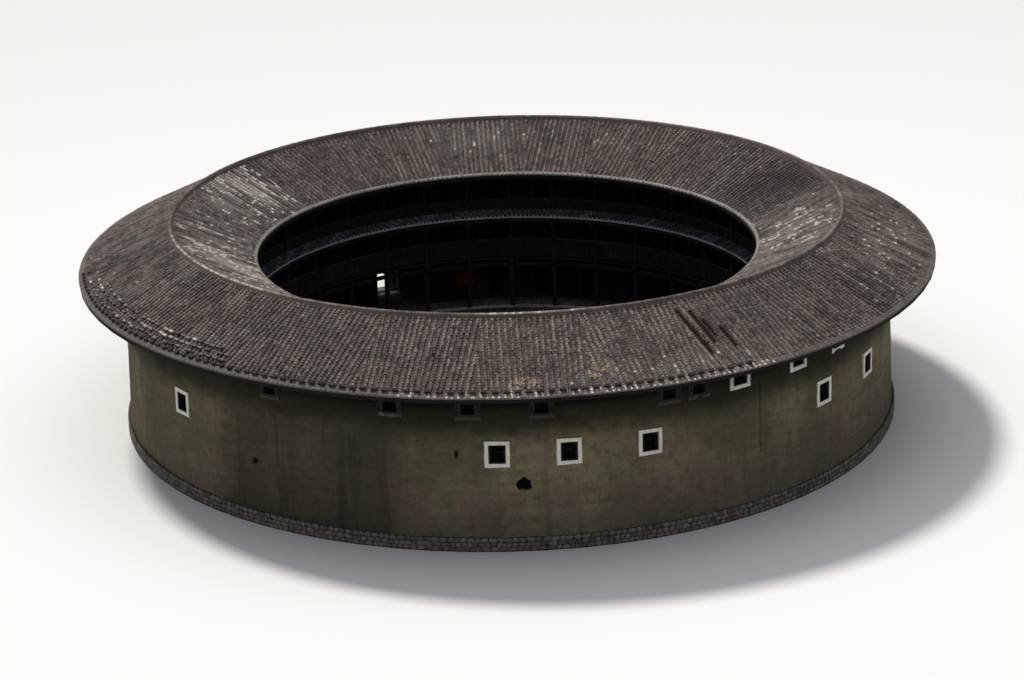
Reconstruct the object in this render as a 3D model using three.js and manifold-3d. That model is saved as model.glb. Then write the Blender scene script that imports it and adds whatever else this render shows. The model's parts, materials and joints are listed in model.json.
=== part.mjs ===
// A round rammed-earth clan house: one ring of three storeys around an open courtyard.
// A thick earth wall on a stone plinth closes the outside, and timber galleries face the courtyard.
// A tiled ring roof with one ridge covers both, and a narrow tiled skirt roof shelters the lower gallery.
// Millimetres, +Z up. The origin is on the building's axis at ground level. Angles run anticlockwise from +X.
import * as THREE from "three";
import { mergeVertices } from "three/addons/utils/BufferGeometryUtils.js";
import Module from "manifold-3d";

const wasm = await Module();
wasm.setup();

// Plan: the rooms are equal bays, with a timber frame on each bay line.
const BAYS = 36;
const BAY_DEGREES = 360 / BAYS;
const FIRST_BAY_LINE = BAY_DEGREES / 2;
const SMOOTH_FACETS = 2 * BAYS;
const GATE_DEGREES = 110;
const SEAM = 0.3; // the gap left between pieces that touch
const CUT_MARGIN = 500; // how far a cutting block runs past what it cuts
// A timber that runs straight from one bay line to the next is nearest the axis in the middle of the bay.
const MID_BAY_SHARE = Math.cos(THREE.MathUtils.degToRad(BAY_DEGREES / 2));

// Radii, from the courtyard outwards.
const INNER_EAVE_RADIUS = 11610;
const GALLERY_EDGE_RADIUS = 12450;
const GALLERY_POST_RADIUS = 12600;
const ROOM_FRONT_RADIUS = 13950;
const RIDGE_RADIUS = 15530;
const WALL_INNER_RADIUS = 16700;
const WALL_TOP_RADIUS = 17660;
const WALL_BASE_RADIUS = 17900;
const PLINTH_RADIUS = 18020;
const OUTER_EAVE_RADIUS = 19800;

// Heights.
const PLINTH_TOP = 600;
const COURTYARD_TOP = 250;
const WALKWAY_TOP = 450;
const SECOND_FLOOR_TOP = 3050;
const THIRD_FLOOR_TOP = 5180;
const TIE_BEAM_BOTTOM = 7150;
const OUTER_EAVE_TOP = 7500;
const INNER_EAVE_TOP = 7710;
const ROOF_APEX = 9560;

// Roof.
const ROOF_THICKNESS = 200; // measured upright
const RIDGE_CAP_WIDTH = 360;
const RIDGE_CAP_RISE = 110;
const OUTER_PITCH = (ROOF_APEX - OUTER_EAVE_TOP) / (OUTER_EAVE_RADIUS - RIDGE_RADIUS);
const INNER_PITCH = (ROOF_APEX - INNER_EAVE_TOP) / (RIDGE_RADIUS - INNER_EAVE_RADIUS);

// Skirt roof, hung outside the third-storey gallery.
const SKIRT_EDGE_RADIUS = 11980;
const SKIRT_BACK_RADIUS = 12490;
const SKIRT_EDGE_TOP = 5390;
const SKIRT_PITCH = 0.5;
const SKIRT_THICKNESS = 90;
const SKIRT_PLATE_WIDTH = 110;
const SKIRT_PLATE_SETBACK = 20;

// Timber sizes.
const POST_SIZE = 190;
const BEAM_WIDTH = 140;
const BEAM_DEPTH = 200;
const BEAM_END = 20; // a tie beam's end beyond the plate that it carries
const PLATE_NOTCH = 20;
const FLOOR_END_GAP = 80; // floors stop short of the earth wall
const PLANK_THICKNESS = 50;
const BOARD_THICKNESS = 60;
const RAIL_THICKNESS = 70;
const RAIL_CLEARANCE = 80;
const RAIL_HEIGHT = 950;
const ARCADE_BEAM_DEPTH = 180;
const EAVE_PLATE_WIDTH = 140;
const OUTER_PLATE_RADIUS = 19150;
const INNER_PLATE_RADIUS = 12000;
const JOIST_INNER_RADIUS = 12300;
const BRACKET_INNER_RADIUS = 12010;

// Openings.
const WINDOW_WIDTH = 680;
const WINDOW_HEIGHT = 800;
const LOWER_SILL = 3900;
const UPPER_SILL = 6000;
const DOOR_WIDTH = 800;
const DOOR_OFFSET = -350;
const DOOR_HEIGHTS = [2000, 1700, 1750];
const HALL_WIDTH = 2200;
const HALL_HEIGHT = 2250;
const GATE_CLEAR_WIDTH = 1700;
const GATE_JAMB_WIDTH = 300;
const GATE_STONE_DEPTH = 600;
const GATE_STONE_FACE = 17780;
const THRESHOLD_TOP = 350;
const PLINTH_SHELF = 100; // the plinth is wider than the wall on its inner side
const LINTEL_BOTTOM = 2950;
const LINTEL_TOP = 3300;

// Windows on the side that the photograph shows stand where it shows them, in degrees from +X.
const SHOWN_UPPER_WINDOWS = [230.8, 249.4, 260.1, 270, 287.8, 292.4, 299.1, 310.1, 319.7];
const SHOWN_LOWER_WINDOWS = [212.1, 263.9, 273.6, 284.9, 315.8, 329.3];
const SHOWN_FROM = 195;
const SHOWN_TO = 345;
const WALL_JOINTS = [15, 45, 75, 105, 135, 165, 195, 225, 255, 280, 305, 335];
const LOWER_WINDOW_STEP = 2 * BAY_DEGREES;

// A box from -CUT_REACH to CUT_REACH crosses any piece that it cuts.
const CUT_REACH = 30000;

const radians = THREE.MathUtils.degToRad;

// Turns a closed three.js geometry into a solid that can be joined and cut.
function toSolid(geometry) {
  const bare = geometry.clone();
  bare.deleteAttribute("normal");
  bare.deleteAttribute("uv");
  const merged = mergeVertices(bare, 1e-2);
  return new wasm.Manifold(
    new wasm.Mesh({
      numProp: 3,
      vertProperties: merged.attributes.position.array,
      triVerts: new Uint32Array(merged.index.array),
    }),
  );
}

// Turns a solid back into a three.js geometry.
function toGeometry(solid) {
  const mesh = solid.getMesh();
  const geometry = new THREE.BufferGeometry();
  geometry.setAttribute("position", new THREE.BufferAttribute(mesh.vertProperties, mesh.numProp));
  geometry.setIndex(new THREE.BufferAttribute(mesh.triVerts, 1));
  const flat = geometry.toNonIndexed();
  flat.computeVertexNormals();
  return flat;
}

function joined(solids) {
  return solids.reduce((sum, solid) => sum.add(solid));
}

// A full ring: a closed [radius, height] profile, listed clockwise, turned about the axis.
function ring(profile, facets = SMOOTH_FACETS) {
  const closed = [...profile, profile[0]].reverse();
  const points = closed.map(([radius, height]) => new THREE.Vector2(radius, height));
  const start = facets === BAYS ? radians(FIRST_BAY_LINE) : 0;
  return toSolid(new THREE.LatheGeometry(points, facets, start).rotateX(Math.PI / 2));
}

// A ring of upright rectangular section.
function flatRing(inner, outer, bottom, top, facets = SMOOTH_FACETS) {
  return ring([[inner, bottom], [inner, top], [outer, top], [outer, bottom]], facets);
}

// A box that points away from the axis, at an angle, and may stand off to one side of that line.
function radialBox(from, to, width, bottom, top, degrees, offset = 0) {
  const box = new THREE.BoxGeometry(to - from, width, top - bottom);
  box.translate((from + to) / 2, offset, (bottom + top) / 2);
  return toSolid(box.rotateZ(radians(degrees)));
}

// The part of a solid between two angles, less half a seam on each side.
function between(solid, from, to) {
  const half = radians((to - from) / 2);
  const middle = radians((from + to) / 2);
  const reach = CUT_REACH / Math.cos(half);
  const shift = SEAM / 2 / Math.sin(half);
  const slice = new THREE.Shape([
    new THREE.Vector2(shift, 0),
    new THREE.Vector2(shift + reach * Math.cos(half), -reach * Math.sin(half)),
    new THREE.Vector2(shift + reach * Math.cos(half), reach * Math.sin(half)),
  ]);
  const wedge = new THREE.ExtrudeGeometry(slice, { depth: 2 * CUT_REACH, bevelEnabled: false });
  wedge.translate(0, 0, -CUT_REACH).rotateZ(middle);
  return solid.intersect(toSolid(wedge));
}

// The angles of the bay lines, where the timber frames stand.
function bayLines() {
  return Array.from({ length: BAYS }, (_, bay) => FIRST_BAY_LINE + bay * BAY_DEGREES);
}

function bayCentres() {
  return Array.from({ length: BAYS }, (_, bay) => bay * BAY_DEGREES);
}

// The height of the roof's upper face at a radius.
function roofTop(radius) {
  return radius > RIDGE_RADIUS
    ? OUTER_EAVE_TOP + (OUTER_EAVE_RADIUS - radius) * OUTER_PITCH
    : INNER_EAVE_TOP + (radius - INNER_EAVE_RADIUS) * INNER_PITCH;
}

function roofUnderside(radius) {
  return roofTop(radius) - ROOF_THICKNESS;
}

function skirtTop(radius) {
  return SKIRT_EDGE_TOP + (radius - SKIRT_EDGE_RADIUS) * SKIRT_PITCH;
}

// Materials, in the colours of the real surfaces.
function material(colour, roughness) {
  return new THREE.MeshStandardMaterial({ color: colour, roughness, metalness: 0 });
}

const rammedEarth = material(0x5f5846, 0.95);
const cobbleStone = material(0x4a4742, 0.9);
const dressedStone = material(0x77736a, 0.85);
const roofTile = material(0x5a5350, 0.85);
const ridgeTile = material(0x77716b, 0.85);
const darkTimber = material(0x2c231d, 0.8);

const tulou = new THREE.Group();

function addPiece(name, solid, finish) {
  const mesh = new THREE.Mesh(toGeometry(solid), finish);
  mesh.name = name;
  tulou.add(mesh);
}

// Four quarters of a ring, each a piece of its own. The first one runs anticlockwise from an angle.
// The plinth's quarters meet at the gate, which cuts right through it.
function addQuarters(name, whole, start, finish) {
  ["north_east", "north_west", "south_west", "south_east"].forEach((side, index) => {
    const from = start + 90 * index;
    addPiece(name + "_" + side, between(whole, from, from + 90), finish);
  });
}

// Masonry.

function windowHoles() {
  const unseen = (degrees) => degrees < SHOWN_FROM || degrees > SHOWN_TO;
  const upper = [...bayCentres().filter(unseen), ...SHOWN_UPPER_WINDOWS];
  const lower = [
    ...bayCentres().filter((degrees) => unseen(degrees) && degrees % LOWER_WINDOW_STEP === 0),
    ...SHOWN_LOWER_WINDOWS,
  ];
  const from = WALL_INNER_RADIUS - CUT_MARGIN;
  const to = WALL_BASE_RADIUS + CUT_MARGIN;
  const hole = (degrees, sill) => radialBox(from, to, WINDOW_WIDTH, sill, sill + WINDOW_HEIGHT, degrees);
  return [
    ...upper.map((degrees) => hole(degrees, UPPER_SILL)),
    ...lower.map((degrees) => hole(degrees, LOWER_SILL)),
  ];
}

// The wall is pierced by the tie beams that carry the outer eave.
function beamPockets() {
  return bayLines().map((degrees) =>
    radialBox(
      WALL_INNER_RADIUS - CUT_MARGIN,
      WALL_BASE_RADIUS + CUT_MARGIN,
      BEAM_WIDTH + 2 * SEAM,
      TIE_BEAM_BOTTOM - SEAM,
      TIE_BEAM_BOTTOM + BEAM_DEPTH + SEAM,
      degrees,
    ),
  );
}

const gateOpeningWidth = GATE_CLEAR_WIDTH + 2 * GATE_JAMB_WIDTH;
const gateHole = radialBox(
  WALL_INNER_RADIUS - CUT_MARGIN,
  PLINTH_RADIUS + CUT_MARGIN,
  gateOpeningWidth + 2 * SEAM,
  -CUT_MARGIN,
  LINTEL_TOP + SEAM,
  GATE_DEGREES,
);

function addPlinth() {
  const whole = flatRing(WALL_INNER_RADIUS - PLINTH_SHELF, PLINTH_RADIUS, 0, PLINTH_TOP).subtract(gateHole);
  addQuarters("plinth", whole, GATE_DEGREES - 90, cobbleStone);
}

function addWall() {
  const whole = ring([
    [WALL_INNER_RADIUS, PLINTH_TOP + SEAM],
    [WALL_INNER_RADIUS, roofUnderside(WALL_INNER_RADIUS) - SEAM],
    [WALL_TOP_RADIUS, roofUnderside(WALL_TOP_RADIUS) - SEAM],
    [WALL_BASE_RADIUS, PLINTH_TOP + SEAM],
  ]);
  const pierced = whole.subtract(joined([gateHole, ...windowHoles(), ...beamPockets()]));
  WALL_JOINTS.forEach((from, index) => {
    const to = index + 1 < WALL_JOINTS.length ? WALL_JOINTS[index + 1] : WALL_JOINTS[0] + 360;
    const name = "earth_wall_" + String(index + 1).padStart(2, "0");
    addPiece(name, between(pierced, from, to), rammedEarth);
  });
}

function addGate() {
  const back = GATE_STONE_FACE - GATE_STONE_DEPTH;
  const jambOffset = (GATE_CLEAR_WIDTH + GATE_JAMB_WIDTH) / 2;
  const stone = (width, bottom, top, offset) =>
    radialBox(back, GATE_STONE_FACE, width, bottom, top, GATE_DEGREES, offset);
  addPiece("gate_jamb_east", stone(GATE_JAMB_WIDTH, 0, LINTEL_BOTTOM, -jambOffset), dressedStone);
  addPiece("gate_jamb_west", stone(GATE_JAMB_WIDTH, 0, LINTEL_BOTTOM, jambOffset), dressedStone);
  addPiece("gate_lintel", stone(gateOpeningWidth, LINTEL_BOTTOM + SEAM, LINTEL_TOP, 0), dressedStone);
  addPiece("gate_threshold", stone(GATE_CLEAR_WIDTH - 2 * SEAM, 0, THRESHOLD_TOP, 0), dressedStone);
}

function addGroundFloors() {
  const courtRadius = JOIST_INNER_RADIUS;
  const courtyard = new THREE.CylinderGeometry(courtRadius, courtRadius, COURTYARD_TOP, SMOOTH_FACETS);
  courtyard.rotateX(Math.PI / 2).translate(0, 0, COURTYARD_TOP / 2);
  addPiece("courtyard_floor", toSolid(courtyard), cobbleStone);
  const walkway = flatRing(courtRadius + SEAM, WALL_INNER_RADIUS - PLINTH_SHELF - SEAM, 0, WALKWAY_TOP);
  addPiece("ground_walkway", walkway, cobbleStone);
}

// Timber.

function posts(radius, bottom, top) {
  return bayLines().map((degrees) =>
    radialBox(radius - POST_SIZE / 2, radius + POST_SIZE / 2, POST_SIZE, bottom, top, degrees),
  );
}

// The posts that carry the second floor, tied by a beam at their heads.
function addArcade() {
  const head = SECOND_FLOOR_TOP - PLANK_THICKNESS - BEAM_DEPTH - SEAM;
  const inner = GALLERY_POST_RADIUS - BEAM_WIDTH / 2;
  const outer = GALLERY_POST_RADIUS + BEAM_WIDTH / 2;
  const beam = flatRing(inner, outer, head - ARCADE_BEAM_DEPTH, head, BAYS);
  const uprights = posts(GALLERY_POST_RADIUS, WALKWAY_TOP + SEAM, head);
  addPiece("ground_arcade", joined([beam, ...uprights]), darkTimber);
}

// Planks on radial joists, which reach from the gallery edge to the earth wall.
function addFloor(name, floorTop, joistInner) {
  const planksBottom = floorTop - PLANK_THICKNESS;
  const joistBottom = planksBottom - BEAM_DEPTH;
  const end = WALL_INNER_RADIUS - FLOOR_END_GAP;
  const planks = flatRing(GALLERY_EDGE_RADIUS, end, planksBottom, floorTop, BAYS);
  const joists = bayLines().map((degrees) =>
    radialBox(joistInner, end, BEAM_WIDTH, joistBottom, planksBottom, degrees),
  );
  addPiece(name, joined([planks, ...joists]), darkTimber);
}

// Gallery posts and the boarded rail between them.
function addGallery(name, floorTop, head) {
  const half = RAIL_THICKNESS / 2;
  const rail = flatRing(
    GALLERY_POST_RADIUS - half,
    GALLERY_POST_RADIUS + half,
    floorTop + RAIL_CLEARANCE,
    floorTop + RAIL_HEIGHT,
    BAYS,
  );
  addPiece(name, joined([rail, ...posts(GALLERY_POST_RADIUS, floorTop + SEAM, head)]), darkTimber);
}

// The boarded fronts of the rooms, with a doorway in each bay and an open hall behind the gate.
function addRoomFront(name, floorTop, head, doorHeight, hasHall) {
  const half = BOARD_THICKNESS / 2;
  const boards = flatRing(ROOM_FRONT_RADIUS - half, ROOM_FRONT_RADIUS + half, floorTop + SEAM, head, BAYS);
  const doorways = bayCentres().map((degrees) => {
    const isHall = hasHall && degrees === GATE_DEGREES;
    const width = isHall ? HALL_WIDTH : DOOR_WIDTH;
    const offset = isHall ? 0 : DOOR_OFFSET;
    const top = floorTop + (isHall ? HALL_HEIGHT : doorHeight);
    const from = ROOM_FRONT_RADIUS - CUT_MARGIN;
    const to = ROOM_FRONT_RADIUS + CUT_MARGIN;
    return radialBox(from, to, width, floorTop - CUT_MARGIN, top, degrees, offset);
  });
  addQuarters(name, boards.subtract(joined(doorways)), FIRST_BAY_LINE, darkTimber);
}

// Tie beams across the ring and through the wall, with the plates that carry both eaves.
function addRoofFrame() {
  const beamTop = TIE_BEAM_BOTTOM + BEAM_DEPTH;
  const half = EAVE_PLATE_WIDTH / 2;
  const from = INNER_PLATE_RADIUS - half - BEAM_END;
  const to = OUTER_PLATE_RADIUS + half + BEAM_END;
  const beams = bayLines().map((degrees) =>
    radialBox(from, to, BEAM_WIDTH, TIE_BEAM_BOTTOM, beamTop, degrees),
  );
  const outerTop = roofUnderside(OUTER_PLATE_RADIUS + half) - SEAM;
  const innerTop = roofUnderside((INNER_PLATE_RADIUS - half) * MID_BAY_SHARE) - SEAM;
  const plate = (radius, top) => flatRing(radius - half, radius + half, beamTop - PLATE_NOTCH, top, BAYS);
  const plates = [plate(OUTER_PLATE_RADIUS, outerTop), plate(INNER_PLATE_RADIUS, innerTop)];
  addPiece("roof_frame", joined([...beams, ...plates]), darkTimber);
}

// Roofs.

function addRoof() {
  const outer = ring([
    [RIDGE_RADIUS, roofTop(RIDGE_RADIUS)],
    [OUTER_EAVE_RADIUS, OUTER_EAVE_TOP],
    [OUTER_EAVE_RADIUS, OUTER_EAVE_TOP - ROOF_THICKNESS],
    [RIDGE_RADIUS, roofUnderside(RIDGE_RADIUS)],
  ]);
  const seamRadius = RIDGE_RADIUS - SEAM;
  const inner = ring([
    [INNER_EAVE_RADIUS, INNER_EAVE_TOP - ROOF_THICKNESS],
    [INNER_EAVE_RADIUS, INNER_EAVE_TOP],
    [seamRadius, roofTop(seamRadius)],
    [seamRadius, roofUnderside(seamRadius)],
  ]);
  addPiece("roof_outer_slope", outer, roofTile);
  addPiece("roof_inner_slope", inner, roofTile);
  const half = RIDGE_CAP_WIDTH / 2;
  const cap = ring([
    [RIDGE_RADIUS - half, roofTop(RIDGE_RADIUS - half) + SEAM],
    [RIDGE_RADIUS - half / 2, ROOF_APEX + RIDGE_CAP_RISE],
    [RIDGE_RADIUS + half / 2, ROOF_APEX + RIDGE_CAP_RISE],
    [RIDGE_RADIUS + half, roofTop(RIDGE_RADIUS + half) + SEAM],
    [RIDGE_RADIUS, ROOF_APEX + SEAM],
  ]);
  addPiece("roof_ridge", cap, ridgeTile);
}

function addSkirtRoof() {
  const shell = ring([
    [SKIRT_EDGE_RADIUS, SKIRT_EDGE_TOP - SKIRT_THICKNESS],
    [SKIRT_EDGE_RADIUS, SKIRT_EDGE_TOP],
    [SKIRT_BACK_RADIUS, skirtTop(SKIRT_BACK_RADIUS)],
    [SKIRT_BACK_RADIUS, skirtTop(SKIRT_BACK_RADIUS) - SKIRT_THICKNESS],
  ]);
  addPiece("skirt_roof", shell, roofTile);
  // The plate stands on the third floor's joist ends and carries the tiles' lower edge.
  const inner = BRACKET_INNER_RADIUS + SKIRT_PLATE_SETBACK;
  const bottom = THIRD_FLOOR_TOP - PLANK_THICKNESS + SEAM;
  const top = skirtTop(inner * MID_BAY_SHARE) - SKIRT_THICKNESS - SEAM;
  addPiece("skirt_roof_plate", flatRing(inner, inner + SKIRT_PLATE_WIDTH, bottom, top, BAYS), darkTimber);
}

addPlinth();
addWall();
addGate();
addGroundFloors();
addArcade();
addFloor("second_floor", SECOND_FLOOR_TOP, JOIST_INNER_RADIUS);
addFloor("third_floor", THIRD_FLOOR_TOP, BRACKET_INNER_RADIUS);
const secondHead = SECOND_FLOOR_TOP - PLANK_THICKNESS - BEAM_DEPTH - SEAM;
const thirdHead = THIRD_FLOOR_TOP - PLANK_THICKNESS - BEAM_DEPTH - SEAM;
const tieHead = TIE_BEAM_BOTTOM - SEAM;
addGallery("second_gallery", SECOND_FLOOR_TOP, thirdHead);
addGallery("third_gallery", THIRD_FLOOR_TOP, tieHead);
addRoomFront("ground_room_front", WALKWAY_TOP, secondHead, DOOR_HEIGHTS[0], true);
addRoomFront("second_room_front", SECOND_FLOOR_TOP, thirdHead, DOOR_HEIGHTS[1], false);
addRoomFront("third_room_front", THIRD_FLOOR_TOP, tieHead, DOOR_HEIGHTS[2], false);
addRoofFrame();
addRoof();
addSkirtRoof();

export default tulou;
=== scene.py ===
# %% [markdown]
# # A round earth house
# A thick ring of rammed earth, three storeys high, closes the house from outside. Timber galleries look
# onto an open court inside it, and one wide tiled roof covers wall, rooms and galleries.
# The solids that carry the house come from the CAD model. This lesson gives them what a maker would see
# from close by: rows of tiles, rammed lifts, limed windows, boards, beams and stones.
# Everything is in metres around the axis of the ring, and an angle counts anticlockwise from +X.

import json
import math
import random

import bmesh
import bpy
from mathutils import Matrix, Vector, noise

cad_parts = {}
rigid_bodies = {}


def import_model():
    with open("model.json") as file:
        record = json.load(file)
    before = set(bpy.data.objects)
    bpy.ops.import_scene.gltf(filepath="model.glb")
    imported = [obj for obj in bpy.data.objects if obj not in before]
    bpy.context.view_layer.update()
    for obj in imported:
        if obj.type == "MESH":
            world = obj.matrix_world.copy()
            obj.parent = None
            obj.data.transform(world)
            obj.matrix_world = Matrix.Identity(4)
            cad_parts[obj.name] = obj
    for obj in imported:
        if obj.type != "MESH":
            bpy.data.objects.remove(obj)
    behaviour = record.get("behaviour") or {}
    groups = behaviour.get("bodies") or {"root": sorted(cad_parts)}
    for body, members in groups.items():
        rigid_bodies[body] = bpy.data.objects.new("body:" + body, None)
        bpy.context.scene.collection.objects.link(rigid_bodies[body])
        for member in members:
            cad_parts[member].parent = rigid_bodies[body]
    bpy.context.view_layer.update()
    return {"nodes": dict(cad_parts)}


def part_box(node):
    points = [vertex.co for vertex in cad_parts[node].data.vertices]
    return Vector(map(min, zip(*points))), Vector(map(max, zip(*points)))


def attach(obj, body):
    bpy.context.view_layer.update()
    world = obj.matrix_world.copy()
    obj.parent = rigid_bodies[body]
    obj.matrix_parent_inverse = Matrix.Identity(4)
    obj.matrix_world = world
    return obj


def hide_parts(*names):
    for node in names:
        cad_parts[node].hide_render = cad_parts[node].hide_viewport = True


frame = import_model()

# %% [markdown]
# ## Main sizes
# The radii and heights that the pieces share are read from the CAD nodes, so that a tile lies on the slope
# and a window sits in its opening. Only what no node's box tells is written as a number.

# %% Main sizes
roof_low, roof_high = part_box("roof_outer_slope")
inner_low, inner_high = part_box("roof_inner_slope")
skirt_low, skirt_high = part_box("skirt_roof")
plinth_low, plinth_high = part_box("plinth_south_east")
ROOF_THICKNESS = 0.2
EAVE_RADIUS = roof_high.x
EAVE_HEIGHT = roof_low.z + ROOF_THICKNESS
RIDGE_RADIUS = inner_high.x
RIDGE_HEIGHT = roof_high.z
INNER_EAVE_RADIUS = 11.61
INNER_EAVE_HEIGHT = inner_low.z + ROOF_THICKNESS
OUTER_PITCH = (RIDGE_HEIGHT - EAVE_HEIGHT) / (EAVE_RADIUS - RIDGE_RADIUS)
INNER_PITCH = (RIDGE_HEIGHT - INNER_EAVE_HEIGHT) / (RIDGE_RADIUS - INNER_EAVE_RADIUS)
SKIRT_INNER_RADIUS = 11.98
SKIRT_OUTER_RADIUS = skirt_high.x
SKIRT_PITCH = 0.5
PLINTH_RADIUS = plinth_high.x
PLINTH_TOP = plinth_high.z
WALL_INNER_RADIUS = 16.7
WALL_FOOT_RADIUS = 17.9
WALL_HEAD_RADIUS = 17.66
BAYS = 36
BAY_DEGREES = 360 / BAYS
FIRST_BAY_LINE = BAY_DEGREES / 2
POST_RADIUS = 12.6
GATE_DEGREES = 110
SECTORS = 24
SECTOR_DEGREES = 360 / SECTORS
SEAM_DEGREES = 6.5
STREAK_SHIFT = 5.3
SEAM = 0.0003


def roof_height(radius):
    """The height of the roof's upper face at a distance from the axis."""
    if radius > RIDGE_RADIUS:
        return EAVE_HEIGHT + (EAVE_RADIUS - radius) * OUTER_PITCH
    return INNER_EAVE_HEIGHT + (radius - INNER_EAVE_RADIUS) * INNER_PITCH


WALL_TOP = roof_height(WALL_HEAD_RADIUS) - ROOF_THICKNESS


def wall_radius(height):
    """The outer face of the earth wall leans inwards as it rises."""
    share = (height - PLINTH_TOP) / (WALL_TOP - PLINTH_TOP)
    return WALL_FOOT_RADIUS + (WALL_HEAD_RADIUS - WALL_FOOT_RADIUS) * share


print("eave", round(EAVE_RADIUS, 2), round(EAVE_HEIGHT, 2), "ridge", round(RIDGE_RADIUS, 2), round(RIDGE_HEIGHT, 2))

# %% [markdown]
# ## The camera
# The house is seen from a hillside in front of it, well above its ridge. The camera stands at that distance
# and height, and a long lens brings the house close without changing how its circles foreshorten.

# %% Camera
CAMERA_DISTANCE = 135.17
CAMERA_HEIGHT = 50.86
CAMERA_DEGREES = 266
CAMERA_AIM = Vector((0.12, 0, 3.02))
CAMERA_ROLL_DEGREES = -1.64
CAMERA_LENS = 107


def on_circle(radius, degrees, height=0.0):
    """A point at a distance and an angle round the axis of the house."""
    angle = math.radians(degrees)
    return Vector((radius * math.cos(angle), radius * math.sin(angle), height))


def new_object(name, data):
    """Puts new data into the scene, as an object at the origin."""
    made = bpy.data.objects.new(name, data)
    bpy.context.scene.collection.objects.link(made)
    return made


camera = new_object("camera", bpy.data.cameras.new("camera"))
bpy.context.scene.camera = camera
camera.location = on_circle(CAMERA_DISTANCE, CAMERA_DEGREES, CAMERA_HEIGHT)
looking = (CAMERA_AIM - camera.location).to_track_quat("-Z", "Y").to_matrix()
camera.rotation_euler = (looking @ Matrix.Rotation(math.radians(CAMERA_ROLL_DEGREES), 3, "Z")).to_euler()
camera.data.lens = CAMERA_LENS
camera.data.clip_end = 1000
print("camera at", [round(v, 1) for v in camera.location])

# %% [markdown]
# ## Sums in a material
# A finish is mostly arithmetic: this much dirt where the noise is high, less of it near the top. Writing that
# as sums is easier to read than a chain of nodes, so a small class lets a socket be added and multiplied.
# Colours and directions use their own methods, because a Math node would turn a colour grey.


# %% Sums in a material
def plug(tree, socket, value):
    """Fills a socket of a node tree with a link from another socket, or with a number, a colour or a word."""
    value = value.socket if isinstance(value, Value) else value
    if isinstance(value, bpy.types.NodeSocket):
        tree.links.new(value, socket)
    elif isinstance(value, tuple) and len(value) == 3 and socket.type == "RGBA":
        socket.default_value = (*value, 1)
    else:
        socket.default_value = value


def add_node(tree, kind, settings, inputs):
    """Adds any node: its settings first, then its sockets, by name or in order."""
    made = tree.nodes.new(kind)
    for key, value in settings.items():
        setattr(made, key, value)
    for key, value in inputs.items() if isinstance(inputs, dict) else enumerate(inputs):
        plug(tree, made.inputs[key], value)
    return made


class Value:
    """One number, colour or direction inside a material, held as the socket that gives it."""

    def __init__(self, finish, socket):
        self.finish = finish
        self.socket = socket

    def sum(self, operation, *others):
        return self.finish.node("ShaderNodeMath", {"operation": operation}, [self, *others])

    def __add__(self, other):
        return self.sum("ADD", other)

    def __sub__(self, other):
        return self.sum("SUBTRACT", other)

    def __rsub__(self, other):
        return self.finish.node("ShaderNodeMath", {"operation": "SUBTRACT"}, [other, self])

    def __mul__(self, other):
        return self.sum("MULTIPLY", other)

    __radd__, __rmul__ = __add__, __mul__

    def __truediv__(self, other):
        return self.sum("DIVIDE", other)

    def ramp(self, low, high):
        """0 below the low value, 1 above the high one, and smooth between them."""
        settings = {"interpolation_type": "SMOOTHSTEP"}
        return self.finish.node("ShaderNodeMapRange", settings, {"Value": self, "From Min": low, "From Max": high})

    def near(self, middle, reach):
        """1 at the middle value, falling to 0 at a reach to either side."""
        return 1 - self.sum("SUBTRACT", middle).sum("ABSOLUTE").ramp(0, reach)


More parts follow.
